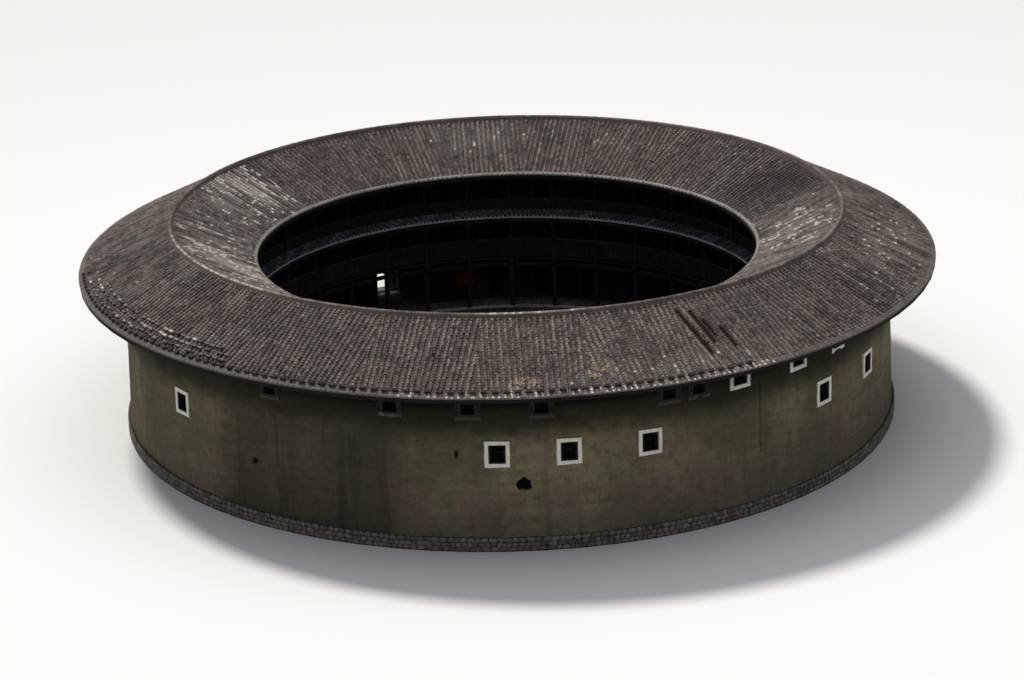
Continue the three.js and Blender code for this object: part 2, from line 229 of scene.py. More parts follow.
class Finish:
    """A material on a principled shader. Patterns run on Object coordinates, in metres."""

    def __init__(self, name, roughness, shine=0.2):
        self.material = bpy.data.materials.new(name)
        self.material.use_nodes = True
        self.tree = self.material.node_tree
        self.shader = self.tree.nodes["Principled BSDF"]
        self.put("Roughness", roughness)
        self.put("Specular IOR Level", shine)
        self.place = self.node("ShaderNodeTexCoord", {}, {}, "Object")
        axes = add_node(self.tree, "ShaderNodeSeparateXYZ", {}, [self.place])
        self.x, self.y, self.z = (Value(self, axes.outputs[axis]) for axis in "XYZ")

    def node(self, kind, settings, inputs, output=0):
        return Value(self, add_node(self.tree, kind, settings, inputs).outputs[output])

    def put(self, name, value):
        plug(self.tree, self.shader.inputs[name], value)

    def radius(self):
        return (self.x * self.x + self.y * self.y).sum("SQRT")

    def degrees(self):
        """The angle round the house, from 0 to 360."""
        turned = self.y.sum("ARCTAN2", self.x) * (180 / math.pi)
        return turned + turned.sum("LESS_THAN", 0) * 360

    def stretched(self, x, y, z):
        return self.node("ShaderNodeVectorMath", {"operation": "MULTIPLY"}, [self.place, (x, y, z)])

    def down_rows(self, across, along):
        """A place measured across and along the straight tile rows of its roof sector."""
        sector = (self.degrees() - SEAM_DEGREES).sum("FLOORED_MODULO", 360) / SECTOR_DEGREES
        off = (sector.sum("FRACT") - 0.5) * math.radians(SECTOR_DEGREES)
        side, line = self.radius() * off.sum("SINE"), self.radius() * off.sum("COSINE")
        shift = sector.sum("FLOOR") * STREAK_SHIFT
        return self.node("ShaderNodeCombineXYZ", {}, [side * across, line * along, shift])

    def noise(self, scale, detail=4.0, rough=0.55, at=None):
        inputs = {"Vector": at or self.place, "Scale": scale, "Detail": detail, "Roughness": rough}
        return self.node("ShaderNodeTexNoise", {}, inputs)

    def cells(self, scale, feature="F1", output="Distance", at=None):
        settings = {"feature": feature}
        return self.node("ShaderNodeTexVoronoi", settings, {"Vector": at or self.place, "Scale": scale}, output)

    def attribute(self, name):
        return self.node("ShaderNodeAttribute", {"attribute_name": name}, {}, "Fac")

    def mix(self, share, first, second, blend="MIX"):
        """A colour between two others, or the first multiplied by the second as far as the share says."""
        settings = {"data_type": "RGBA", "blend_type": blend}
        return self.node("ShaderNodeMix", settings, {"Factor": share, 6: first, 7: second}, 2)

    def coats(self, base, *coats):
        """Lays coats over a base one after the other, each (share, colour)."""
        for share, colour in coats:
            base = self.mix(share, base, colour)
        return base

    def done(self, colour, height, distance):
        """Ends the finish with its colour, and with its relief as a bump of so many metres."""
        self.put("Base Color", colour)
        relief = {"Strength": 1.0, "Distance": distance, "Height": height}
        self.put("Normal", self.node("ShaderNodeBump", {}, relief))
        return self.material


def times(share, colour):
    """A colour made darker or lighter."""
    return tuple(share * part for part in colour)


# %% [markdown]
# ## The earth wall's finish
# Rammed earth is laid in lifts about 0.4 m high, each packed from its own baskets of soil, so each has its own
# tone and a soft joint below it. The joints are faint, and on a wall this old only stretches of them still show.
# Rain splashes the foot, and thin streaks run down from the eave. The band under the eave is painted shade: the
# colour darkens with height to nearly black just below the eave, as the eave's shadow does. Damp has stained one
# wide stretch on the left, where the streaks are strongest, and a broad stretch on the right is a little darker as
# painted shade, since less light falls on it. Heights set the lifts and the bands, angles round the house set the
# stain and the shaded stretch, and noise stretched upright or level makes the streaks and the seams. Behind the
# face, in windows and old holes, the earth is darkened as painted shade: the depth behind the leaning face tells
# where.

# %% Earth
LIFT_HEIGHT = 0.4


def make_earth():
    finish = Finish("rammed_earth", 0.95, shine=0.08)
    wander = finish.noise(0.35, 3) * 0.25
    lift = (finish.z + wander) / LIFT_HEIGHT
    tone = finish.node("ShaderNodeTexWhiteNoise", {"noise_dimensions": "1D"}, {"W": lift.sum("FLOOR")})
    joint = 1 - lift.sum("FRACT").ramp(0.0, 0.1)
    joint = joint * finish.noise(0.6, 3, 0.5, finish.stretched(1, 1, 4)).ramp(0.48, 0.62)
    patches = finish.noise(0.2, 5, 0.6).ramp(0.38, 0.62)
    clay = finish.noise(0.34, 5, 0.65).ramp(0.46, 0.6)
    seams = finish.noise(1.0, 5, 0.6, finish.stretched(0.35, 0.35, 3.2)).ramp(0.48, 0.7)
    streaks = finish.noise(1.0, 5, 0.6, finish.stretched(1.8, 1.8, 0.12)).ramp(0.46, 0.7)
    washes = finish.noise(1.0, 3, 0.5, finish.stretched(0.5, 0.5, 0.04)).ramp(0.42, 0.68)
    grain = finish.noise(9.0, 8, 0.7)
    blotch = finish.noise(2.4, 6, 0.7)
    eave_shade_height = finish.z + finish.noise(0.8, 4) * 1.0
    foot = 1 - finish.z.ramp(0.9, 3.4)
    stained = finish.degrees().near(236, 23).ramp(0, 0.55) * (streaks * 0.2 + patches * 0.15 + 0.67)
    stained = stained * (1 - finish.z.ramp(4.6, 5.6))
    lean = (WALL_FOOT_RADIUS - WALL_HEAD_RADIUS) / (WALL_TOP - PLINTH_TOP)
    depth = WALL_FOOT_RADIUS - (finish.z - PLINTH_TOP) * lean - finish.radius()
    base = finish.coats(
        finish.mix(patches, (0.096, 0.091, 0.051), (0.216, 0.189, 0.111)),
        (tone * 0.42, (0.090, 0.078, 0.047)),
        (clay * (foot.ramp(0.0, 0.3) * 0.5 + 0.4), (0.158, 0.112, 0.084)),
        (seams * 0.45, (0.080, 0.067, 0.045)),
        (foot * 0.5, (0.090, 0.074, 0.058)),
        (blotch.ramp(0.46, 0.66) * 0.55, (0.062, 0.053, 0.034)),
        (streaks * 0.5, (0.062, 0.054, 0.034)),
        (washes * 0.3, (0.072, 0.065, 0.040)),
        (joint * 0.28, (0.050, 0.042, 0.028)),
        (grain.ramp(0.5, 0.74) * 0.45, (0.215, 0.188, 0.126)),
        # painted shade: a broad stretch round 318 degrees is a little darker, where less light falls
        (finish.degrees().near(318, 40) * 0.2, (0.060, 0.050, 0.034)),
        (stained * 0.78, (0.018, 0.015, 0.012)),
        # painted shade under the eave: darker with height, and nearly black just below the eave
        (eave_shade_height.ramp(4.85, 6.35) * 0.88, (0.010, 0.010, 0.005)),
        (finish.z.ramp(5.9, 6.6), (0.002, 0.002, 0.001)),
        # painted shade in the reveals of windows and old holes, set by the depth behind the face
        (depth.ramp(0.04, 0.16) * (1 - depth.ramp(0.95, 1.0)), (0.012, 0.010, 0.007)),
    )
    return finish.done(base, grain * 0.7 - joint * 0.25 + blotch * 0.6, 0.03)


earth = make_earth()
print("finish:", earth.name)

# %% [markdown]
# ## Tiles
# Each fired clay tile weathers by itself, so its tone comes from a number that is stored on the tile when it is
# laid: up to 0.75 is plain clay from dark to light, and above that the tile is bleached or covered in lichen.
# Over that lie broad patches of grime and areas that rain and sun have bleached or kept damp and dark. They run
# down the slope in streaks that follow the straight rows of each sector, so the noise behind them is measured
# across and along those rows. A few patches of newer, ochre tiles lie near the front eave. An area is named by
# its angle, its radius, its reach either way, how many degrees it slants for each metre outwards and how strong
# it is, and a point's nearness to its middle sets the mask. The lime along the outer eave is fresh in front and
# worn elsewhere, so it too is given an angle and a reach.

# %% Tile finishes
OCHRE_PATCHES = [(267.6, 19.25, 2.6, 0.6, 0, 1.3), (277.6, 18.6, 2.8, 0.6, 0, 0.9)]
BLEACHED_AREAS = [
    (152, 14.0, 12, 2.6, -0.5, 2.5),
    (145, 13.7, 6, 2.4, 1.2, 1.5),
    (192, 13.4, 34, 2.6, 0, 0.75),
    (198, 12.6, 15, 1.6, 0, 1.0),
    (350, 13.2, 21, 2.6, -2.2, 0.75),
    (92, 14.2, 17, 1.8, 0, 0.5),
    (62, 13.9, 9, 2.0, 0, 0.25),
    (343, 18.0, 22, 2.6, 0, 0.72),
    (196, 18.9, 16, 1.4, 0, 0.3),
    (293, 19.0, 14, 1.1, 0, 0.45),
    (274, 19.2, 12, 0.9, 0, 0.3),
]
DAMP_AREAS = [(18, 13.8, 14, 3.4, -2.4, 1.3), (40, 14.6, 8, 1.4, 0, 0.4), (305, 17.4, 9, 1.7, 0, 0.3)]


def cover(finish, areas):
    """The share of the areas at a point: each fades out from its middle."""
    turned, radius = finish.degrees(), finish.radius()
    total = 0
    for degrees, at, wide, deep, slant, share in areas:
        middle = (radius - at) * slant + degrees
        away = (turned - middle + 540).sum("FLOORED_MODULO", 360) - 180
        total = total + away.near(0, wide) * radius.near(at, deep) * share
    return total


def ochre(finish, base, share=0.75):
    """Single newer tiles among the old ones."""
    scattered = finish.cells(5.5, output="Color")
    picked = finish.node("ShaderNodeSeparateXYZ", {}, [scattered]).ramp(0.46, 0.54)
    patch = cover(finish, OCHRE_PATCHES) * picked
    return finish.mix(patch.ramp(0.03, 0.3) * share, base, (0.290, 0.220, 0.150))


def weathered_rows(finish, base, dark, light):
    """What only the big slopes show: streaks down the rows, damp and bleached areas, and newer tiles."""
    streaked = finish.noise(1.0, 5, 0.65, finish.down_rows(2.2, 0.4))
    base = finish.coats(
        base,
        ((1 - streaked.ramp(0.36, 0.5)) * 0.5, times(0.8, dark)),
        (streaked.ramp(0.52, 0.66) * 0.3, times(1.35, light)),
        (cover(finish, DAMP_AREAS) * 0.9, times(0.6, dark)),
        (cover(finish, BLEACHED_AREAS) * (streaked.ramp(0.44, 0.6) * 1.05 + 0.05) * 0.5, (0.330, 0.290, 0.250)),
    )
    base = finish.mix(finish.noise(0.3, 3).ramp(0.44, 0.58), base, (0.90, 0.99, 1.0), "MULTIPLY")
    return ochre(finish, base)


def make_tile(name, dark, light, pale=(0.340, 0.300, 0.255), areas=False, fresh=None):
    finish = Finish(name, 0.75)
    shade = finish.attribute("shade")
    grime = finish.noise(0.24, 5, 0.65).ramp(0.35, 0.68)
    cloud = finish.noise(1.3, 6, 0.75).ramp(0.4, 0.64)
    lichen = finish.noise(3.4, 7, 0.8).ramp(0.56, 0.66)
    fleck = finish.noise(16.0, 5, 0.7)
    base = finish.mix(shade.ramp(0.0, 0.75), dark, light)
    base = finish.coats(base, (grime * 0.5, times(0.6, dark)), (cloud * 0.4, times(1.1, light)))
    if areas:
        base = weathered_rows(finish, base, dark, light)
    base = finish.mix(lichen * 0.5, base, (0.170, 0.146, 0.122))
    if fresh:
        worn = 1 - finish.degrees().near(*fresh).ramp(0, 0.4)
        base = finish.mix(worn * 0.6, base, times(0.6, dark))
    base = finish.coats(base, (fleck.ramp(0.52, 0.8) * 0.4, times(1.5, light)), (shade.ramp(0.75, 0.95), pale))
    finish.put("Roughness", fleck * 0.2 + 0.6)
    return finish.done(base, fleck, 0.006)


OLD_CLAY, OLD_CLAY_LIGHT, LICHENED = (0.040, 0.030, 0.026), (0.168, 0.123, 0.105), (0.450, 0.402, 0.348)
cover_tile = make_tile("cover_tile", OLD_CLAY, OLD_CLAY_LIGHT, LICHENED, areas=True)
# The skirt tiles are dark and blue: painted shade of the court and a painted reflection of the sky; worn_lime is
# tinted blue the same way.
skirt_tile = make_tile("skirt_tile", (0.012, 0.012, 0.017), (0.036, 0.036, 0.049), (0.078, 0.077, 0.098))
# painted shadow: row_brick runs from nearly black, for the shade between the upper bricks, to pale
row_brick = make_tile("row_brick", (0.006, 0.005, 0.004), (0.170, 0.145, 0.125), (0.320, 0.285, 0.245))
ridge_bed = make_tile("ridge_bed", (0.072, 0.054, 0.045), (0.112, 0.082, 0.069))
ridge_tile = make_tile("ridge_tile", (0.062, 0.048, 0.040), (0.240, 0.205, 0.170), (0.430, 0.380, 0.320))
worn_lime = make_tile("worn_lime", (0.180, 0.180, 0.205), (0.300, 0.298, 0.330), (0.360, 0.360, 0.390))
inner_lime = make_tile("inner_lime", (0.150, 0.142, 0.124), (0.270, 0.250, 0.220), (0.440, 0.410, 0.360))
EAVE_LIMES = (0.080, 0.068, 0.057), (0.225, 0.200, 0.170), (0.440, 0.400, 0.345)
eave_lime = make_tile("eave_lime", *EAVE_LIMES, fresh=(276, 34))


def make_tile_bed():
    """Hollow pan tiles, seen as channels with a step at each course, and boards below and at their ends, darkened
    nearly to black as painted shade.
    """
    finish = Finish("pan_tile", 0.9)
    course = finish.radius() / 0.13 + finish.noise(1.1, 2) * 1.4
    step = course.sum("FRACT")
    stain = finish.noise(2.2, 6, 0.75).ramp(0.38, 0.64)
    base = finish.mix(stain, (0.030, 0.023, 0.019), (0.086, 0.065, 0.054))
    bleached = cover(finish, BLEACHED_AREAS) * (1 - cover(finish, DAMP_AREAS))
    base = ochre(finish, finish.mix(bleached * 0.5, base, (0.170, 0.148, 0.125)), 0.3)
    # painted shade: faces that point down or sideways take the boards' colour, darkened nearly to black
    facing = finish.node("ShaderNodeNewGeometry", {}, {}, "Normal")
    below = 1 - finish.node("ShaderNodeSeparateXYZ", {}, [facing], "Z").ramp(0.3, 0.6)
    boards = finish.mix(finish.noise(2.0, 6, 0.7), (0.003, 0.002, 0.002), (0.012, 0.010, 0.008))
    base = finish.coats(base, (step.ramp(0.75, 1.0) * 0.6, (0.014, 0.011, 0.010)), (below, boards))
    return finish.done(base, step, 0.02)


tile_bed = make_tile_bed()
print("finishes:", cover_tile.name, skirt_tile.name, ridge_tile.name, eave_lime.name, tile_bed.name)

# %% [markdown]
# ## Timber, lime and stone
# The galleries are of fir that a century of smoke and weather has darkened, with grain along the boards. The
# timbers of the court, the galleries, the windows and the eaves are darker still, nearly black: painted shade for
# the deep shadow there. The fir takes very little shine, so its specular level is low, and lowest on the bare boards
# of the torn rows. Far back in the court one red door leaf still shows dimly. The lime round a window is chalky,
# stained by rain, and worn off most where the eave drips, so each band carries how much of its lime is left. Near
# the eave the lime is darkened with height as painted shade, and nearly to black where it is worn. The stones of
# the plinth are river cobbles of several greys, and each carries its own tone as the tiles do.


# %% Timber, lime and stone
def make_timber(name, dark, light, red=False, shine=0.15):
    finish = Finish(name, 0.85, shine)
    grain = finish.noise(3.0, 6, 0.65, finish.stretched(6.0, 6.0, 0.7))
    bands = finish.noise(1.4, 3, 0.5)
    base = finish.mix(grain.ramp(0.3, 0.72), dark, light)
    base = finish.mix(bands.ramp(0.5, 0.72) * 0.4, base, times(1.7, light))
    if red:
        red_leaf = finish.degrees().near(95.2, 2.8).ramp(0.1, 0.4) * finish.z.ramp(1.1, 1.5)
        base = finish.mix(red_leaf * (1 - finish.z.ramp(2.5, 2.7)), base, (0.150, 0.010, 0.008))
    return finish.done(base, grain, 0.008)


# These timber colours are darkened nearly to black as painted shade for the deep shadow of the court and eaves.
dark_timber = make_timber("dark_timber", (0.005, 0.004, 0.004), (0.016, 0.013, 0.011))
worn_timber = make_timber("worn_timber", (0.010, 0.008, 0.007), (0.032, 0.026, 0.022))
bare_timber = make_timber("bare_timber", (0.007, 0.005, 0.004), (0.026, 0.017, 0.012), shine=0.03)
front_timber = make_timber("front_timber", (0.008, 0.004, 0.003), (0.026, 0.010, 0.008), red=True)


def make_lime():
    finish = Finish("window_lime", 0.9)
    left = finish.attribute("shade")
    stain = finish.noise(2.6, 6, 0.65).ramp(0.42, 0.75)
    runs = finish.noise(1.0, 4, 0.6, finish.stretched(7.0, 7.0, 0.8)).ramp(0.48, 0.75)
    brush = finish.noise(24.0, 4, 0.6)
    worn = (finish.noise(5.0, 6, 0.7) * 0.6 + 0.2 - left * 0.8).ramp(-0.25, 0.12)
    base = finish.coats(
        (0.68, 0.66, 0.60),
        (stain * 0.5, (0.44, 0.41, 0.35)),
        (runs * 0.45, (0.33, 0.29, 0.23)),
        (worn, (0.060, 0.053, 0.036)),
        # painted shade under the eave: the lime darkens with height, and its worn parts nearly to black
        (finish.z.ramp(5.6, 6.9) * 0.85, (0.030, 0.028, 0.020)),
        (worn * finish.z.ramp(5.75, 6.1) * 0.9, (0.007, 0.007, 0.004)),
    )
    return finish.done(base, brush * 0.6 + stain * 0.5, 0.008)


lime = make_lime()


def make_stone(name, dark, light, scale):
    finish = Finish(name, 0.85)
    shade = finish.attribute("shade")
    speckle = finish.noise(scale, 7, 0.7)
    base = finish.coats(
        finish.mix(shade, dark, light),
        (speckle.ramp(0.4, 0.75) * 0.6, times(1.45, light)),
        (finish.noise(0.9, 4).ramp(0.5, 0.75) * 0.45, times(0.5, dark)),
    )
    return finish.done(base, speckle, 0.012)


cobble = make_stone("river_cobble", (0.050, 0.046, 0.040), (0.150, 0.138, 0.116), 9.0)
cut_stone = make_stone("cut_stone", (0.090, 0.085, 0.075), (0.170, 0.160, 0.140), 14.0)
# painted shadow: loose bricks are nearly black, for the shade each one casts on the eave
loose_brick = make_stone("loose_brick", (0.010, 0.008, 0.007), (0.034, 0.027, 0.023), 20.0)


def make_cobble_bed():
    """The bed between the cobbles, and paved floors whose cobbles are too small to model."""
    finish = Finish("cobble_bed", 0.95)
    rim = finish.cells(4.2, "DISTANCE_TO_EDGE")
    tone = finish.cells(4.2, output="Color")
    stones = finish.node("ShaderNodeSeparateXYZ", {}, [tone])
    base = finish.coats(
        finish.mix(stones, (0.030, 0.028, 0.025), (0.085, 0.078, 0.068)),
        (1 - rim.ramp(0.0, 0.05), (0.012, 0.011, 0.009)),
        (finish.noise(0.5, 5).ramp(0.45, 0.7) * 0.5, (0.026, 0.027, 0.018)),
    )
    return finish.done(base, rim.ramp(0.0, 0.14), 0.03)


cobble_bed = make_cobble_bed()
print("finishes:", lime.name, cobble.name, cut_stone.name, cobble_bed.name)

# %% [markdown]
# ## Finishes on the CAD nodes
# Nodes whose shape is already right keep it and only change their finish.

# %% Dress the CAD nodes
NODE_FINISHES = {
    "courtyard_floor": cobble_bed,
    "ground_walkway": cobble_bed,
    "plinth": cobble_bed,
    "earth_wall": earth,
    "gate": cut_stone,
    "roof_outer_slope": tile_bed,
    "roof_inner_slope": tile_bed,
    "skirt_roof_plate": dark_timber,
    "skirt_roof": tile_bed,
    "roof_ridge": ridge_bed,
    "ground_room_front": front_timber,
    "second": dark_timber,
    "third": dark_timber,
    "ground_arcade": dark_timber,
    "roof_frame": dark_timber,
}


def dress_nodes():
    for name, node in frame["nodes"].items():
        finish = next(finish for start, finish in NODE_FINISHES.items() if name.startswith(start))
        for material_slot in node.material_slots:
            material_slot.material = finish
    return len(frame["nodes"])


print("dressed", dress_nodes(), "nodes")

# %% [markdown]
# ## Making pieces
# A piece is modelled once with bmesh operators. What repeats hundreds of times is then laid out by Geometry
# Nodes: a cloud of points holds each copy's place, turn, size and tone, and the copies are made real, so the
# result is one plain mesh with its place in its vertices.

# %% Making pieces
SHARP_DEGREES = 38


def add_piece(name, mesh, finish):
    """Puts a finished mesh into the scene, riding on the house."""
    piece = new_object(name, mesh)
    mesh.materials.clear()
    mesh.materials.append(finish)
    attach(piece, "root")
    triangles = sum(len(face.vertices) - 2 for face in mesh.polygons)
    print(name, "-", triangles, "triangles")
    return piece


def mesh_of(bm, smooth=False):
    """Ends a bmesh as a mesh, smooth except where its faces meet at a sharp angle."""
    bmesh.ops.recalc_face_normals(bm, faces=bm.faces)
    for face in bm.faces:
        face.smooth = smooth
    for edge in bm.edges:
        edge.smooth = edge.is_manifold and edge.calc_face_angle() < math.radians(SHARP_DEGREES)
    mesh = bpy.data.meshes.new("piece")
    bm.to_mesh(mesh)
    bm.free()
    return mesh


def add_box(bm, place, length, width, height):
    """Adds a box at a place: length along X, width along Y, height along Z, about its middle."""
    bmesh.ops.create_cube(bm, size=1, matrix=place @ Matrix.Diagonal((length, width, height, 1)))


def box_mesh(length, width, height, bevel=0.0):
    """A timber or stone with bevelled edges."""
    bm = bmesh.new()
    add_box(bm, Matrix(), length, width, height)
    if bevel:
        bmesh.ops.bevel(bm, geom=bm.edges, offset=bevel, segments=1, affect="EDGES", profile=0.5, material=-1)
    return mesh_of(bm)


def at(radius, degrees, height, turn=0.0, tip=0.0, lean=0.0, size=(1, 1, 1)):
    """The place of a copy. Its X points away from the axis, and it turns about Z, tips about Y, leans about X."""
    stand = Matrix.Rotation(math.radians(degrees), 4, "Z") @ Matrix.Translation((radius, 0, height))
    turned = Matrix.Rotation(turn, 4, "Z") @ Matrix.Rotation(tip, 4, "Y") @ Matrix.Rotation(lean, 4, "X")
    return stand @ turned @ Matrix.Diagonal((*size, 1))


def layout_nodes(kinds):
    """The node group that puts one of several meshes on each point."""
    group = bpy.data.node_groups.new("layout", "GeometryNodeTree")
    for way in ("INPUT", "OUTPUT"):
        group.interface.new_socket("Geometry", in_out=way, socket_type="NodeSocketGeometry")

    def node(kind, inputs, **settings):
        return add_node(group, kind, settings, inputs).outputs

    def stored(name, kind):
        return node("GeometryNodeInputNamedAttribute", {"Name": name}, data_type=kind)["Attribute"]

    inputs = {
        "Points": node("NodeGroupInput", {})[0],
        "Instance": node("GeometryNodeCollectionInfo", {"Collection": kinds, "Separate Children": True})[0],
        "Pick Instance": True,
        "Instance Index": stored("kind", "INT"),
        "Rotation": stored("turn", "FLOAT_VECTOR"),
        "Scale": stored("size", "FLOAT_VECTOR"),
    }
    placed = node("GeometryNodeInstanceOnPoints", inputs)
    real = node("GeometryNodeRealizeInstances", [placed[0]])
    node("NodeGroupOutput", [real[0]])
    return group


def baked(body):
    """The mesh of an object with its modifiers applied."""
    bpy.context.view_layer.update()
    return bpy.data.meshes.new_from_object(body.evaluated_get(bpy.context.evaluated_depsgraph_get()))


def lay_out(name, meshes, places, finish):
    """Copies meshes to places, each (matrix, tone from 0 to 1, number of the mesh), as one piece."""
    kinds = bpy.data.collections.new("kinds")
    for number, mesh in enumerate(meshes):
        kinds.objects.link(bpy.data.objects.new(f"kind_{number:02d}", mesh))
    cloud = bpy.data.meshes.new("cloud")
    cloud.vertices.add(len(places))
    parts = [matrix.decompose() for matrix, _, _ in places]
    cloud.vertices.foreach_set("co", [v for where, _, _ in parts for v in where])
    for key, kind, field, values in (
        ("turn", "FLOAT_VECTOR", "vector", [v for _, turned, _ in parts for v in turned.to_euler()]),
        ("size", "FLOAT_VECTOR", "vector", [v for _, _, scale in parts for v in scale]),
        ("shade", "FLOAT", "value", [tone for _, tone, _ in places]),
        ("kind", "INT", "value", [number for _, _, number in places]),
    ):
        cloud.attributes.new(key, kind, "POINT").data.foreach_set(field, values)
    holder = new_object("holder", cloud)
    holder.modifiers.new("layout", "NODES").node_group = layout_nodes(kinds)
    mesh = baked(holder)
    for used in ("turn", "size", "kind"):
        if used in mesh.attributes:
            mesh.attributes.remove(mesh.attributes[used])
    mesh.name = name
    for used in [holder, *kinds.objects]:
        bpy.data.objects.remove(used)
    bpy.data.collections.remove(kinds)
    return add_piece(name, mesh, finish)


# %% [markdown]
# ## Roof tiles
# Tiles are laid in straight rows, and a ring can't be covered by straight rows without cuts. The roofer divides
# it into sectors: in each one the rows run side by side, parallel to its middle line, and where two sectors meet
# the rows are cut off along a slanting seam. That is why light changes from one sector to the next.
# A cover tile is half a tapered tube, cut from a cone, and its lower end lies on the next tile.

# %% One cover tile
TILE_EXPOSED, TILE_OVERLAP, TILE_LIP = 0.15, 0.05, 0.02
TILE_PITCH = 0.25


def cover_tile_mesh(low_radius=0.078, high_radius=0.066, sides=8):
    bm = bmesh.new()
    length = TILE_EXPOSED + TILE_OVERLAP
    bmesh.ops.create_cone(bm, cap_ends=True, segments=sides, radius1=low_radius, radius2=high_radius, depth=length)
    bmesh.ops.rotate(bm, verts=bm.verts, matrix=Matrix.Rotation(math.radians(180 / sides), 3, "Z"))
    bmesh.ops.rotate(bm, verts=bm.verts, matrix=Matrix.Rotation(math.radians(-90), 3, "Y"))
    everything = bm.verts[:] + bm.edges[:] + bm.faces[:]
    cut = bmesh.ops.bisect_plane(bm, geom=everything, plane_co=(0, 0, 0), plane_no=(0, 0, -1), clear_outer=True)
    rim = [edge for edge in cut["geom_cut"] if isinstance(edge, bmesh.types.BMEdge)]
    bmesh.ops.contextual_create(bm, geom=rim)
    for vertex in bm.verts:
        if vertex.co.x > 0:
            vertex.co.z += TILE_LIP
    return mesh_of(bm, smooth=True)


COVER = cover_tile_mesh()
print("cover tile:", len(COVER.polygons), "faces, low end at +X:", max(v.co.x for v in COVER.vertices) > 0)

# %% [markdown]
# The rows are laid from each eave up to the ridge. Tiles shift and twist a little with age, and noise that
# changes slowly along the roof sets where dark, light and bleached tiles gather. Some sectors were laid again
# with darker or lighter tiles, so each has a tone of its own. The lowest tiles of each row are bedded in lime,
# which is fresh in front. On the front slope a storm has torn parts of a few rows away, and there short dark
# boards show, which lie across the row from rafter to rafter.

# %% Lay the roof
SEAM_LAP = 0.12
LIMED_OUTER, LIMED_INNER = 0.24, 0.14
LIMED_MIDDLE, LIMED_REACH = 276, 24
PLAIN_TONE, INNER_TONE = 0.34, 0.03
outer_tip = math.atan(OUTER_PITCH)
inner_tip = -math.atan(INNER_PITCH)
RELAID_SECTORS = {
    (0, -1): -0.38,
    (1, -1): -0.2,
    (2, -1): -0.1,
    (3, -1): -0.14,
    (4, -1): -0.05,
    (7, -1): -0.08,
    (8, -1): -0.08,
    (23, -1): 0.05,
    (21, 1): -0.12,
    (20, 1): -0.04,
}
TORN_ROWS = {
    (19, -8): (16.0, 18.7),
    (19, -6): (16.2, 18.1),
    (19, -5): (16.8, 17.9),
    (19, -3): (17.4, 18.6),
    (16, 2): (17.45, 17.8),
}


def angle_of(where):
    """The angle of a point round the house, from 0 to 360."""
    return math.degrees(math.atan2(where.y, where.x)) % 360


def degrees_between(one, other):
    return abs((one - other + 180) % 360 - 180)


def area_share(areas, degrees, radius):
    """The share of the areas at a place, as the finish works it out."""
    total = 0
    for middle, at_radius, wide, deep, slant, share in areas:
        off = degrees_between(degrees, middle + (radius - at_radius) * slant)
        total += max(0, 1 - off / wide) * max(0, 1 - abs(radius - at_radius) / deep) * share
    return min(1, total)


def freshly_limed(degrees):
    return degrees_between(degrees, LIMED_MIDDLE) < LIMED_REACH


def tile_tone(where, radius, row_tone, streak, rng):
    """Light and dark tiles gather where the noise is high, and pale ones in streaks down the bleached areas."""
    degrees = angle_of(where)
    if radius > EAVE_RADIUS - LIMED_OUTER or radius < INNER_EAVE_RADIUS + LIMED_INNER:
        return rng.uniform(0.72, 1.0) if freshly_limed(degrees) else rng.uniform(0.3, 0.72)
    gathered = noise.noise(where * 0.8) * 0.34 + noise.noise(where * 2.6) * 0.5 + streak * 0.6
    bleached = area_share(BLEACHED_AREAS, degrees, radius)
    pale_chance = 0.006 + max(0, noise.noise(where * 0.5 + Vector((7, 3, 1)))) * 0.08
    pale_chance += bleached * (0.42 if radius < RIDGE_RADIUS else 0.14)
    if rng.random() < pale_chance * max(0.1, 9 * streak):
        return 0.75 + (0.08 + 0.17 * min(1, 2 * bleached)) * rng.random()
    washed = bleached * (0.2 + 1.4 * streak)
    return min(0.75, max(0, PLAIN_TONE + row_tone + gathered + washed + rng.gauss(0, 0.3)))


def sector_tiles(sector, low, high, downhill, rng):
    """The tiles of one sector. low and high are the radii of its eave and its ridge edge."""
    half = math.radians(SECTOR_DEGREES / 2)
    middle = SEAM_DEGREES + (sector + 0.5) * SECTOR_DEGREES
    across = max(low, high) * math.sin(half)
    rows = int(across / TILE_PITCH)
    step = TILE_EXPOSED * math.cos(outer_tip)
    places = []
    slope_tone = INNER_TONE if downhill < 0 else 0
    sector_tone = RELAID_SECTORS.get((sector, downhill), 0) + slope_tone + rng.uniform(-0.05, 0.05)
    for row in range(-rows, rows + 1):
        side = row * TILE_PITCH + rng.gauss(0, 0.012)
        row_tone = sector_tone + rng.uniform(-0.1, 0.1)
        along = math.sqrt(low * low - side * side)
        seam_at = abs(side) / math.tan(half)
        torn_low, torn_high = TORN_ROWS.get((sector, row), (99, 0)) if downhill > 0 else (99, 0)
        while True:
            radius = math.hypot(along, side)
            past_ridge = radius < high + 0.08 if downhill > 0 else radius > high - 0.08
            past_seam = along < seam_at - SEAM_LAP
            if past_ridge or (past_seam and downhill > 0):
                break
            if not torn_low < along < torn_high and not past_seam:
                streak = noise.noise(Vector((side * 3.5, along * 0.9, sector * STREAK_SHIFT)))
                places.append(tile_place(along, side, middle, downhill, row_tone, streak, rng))
            along -= downhill * step
    return places


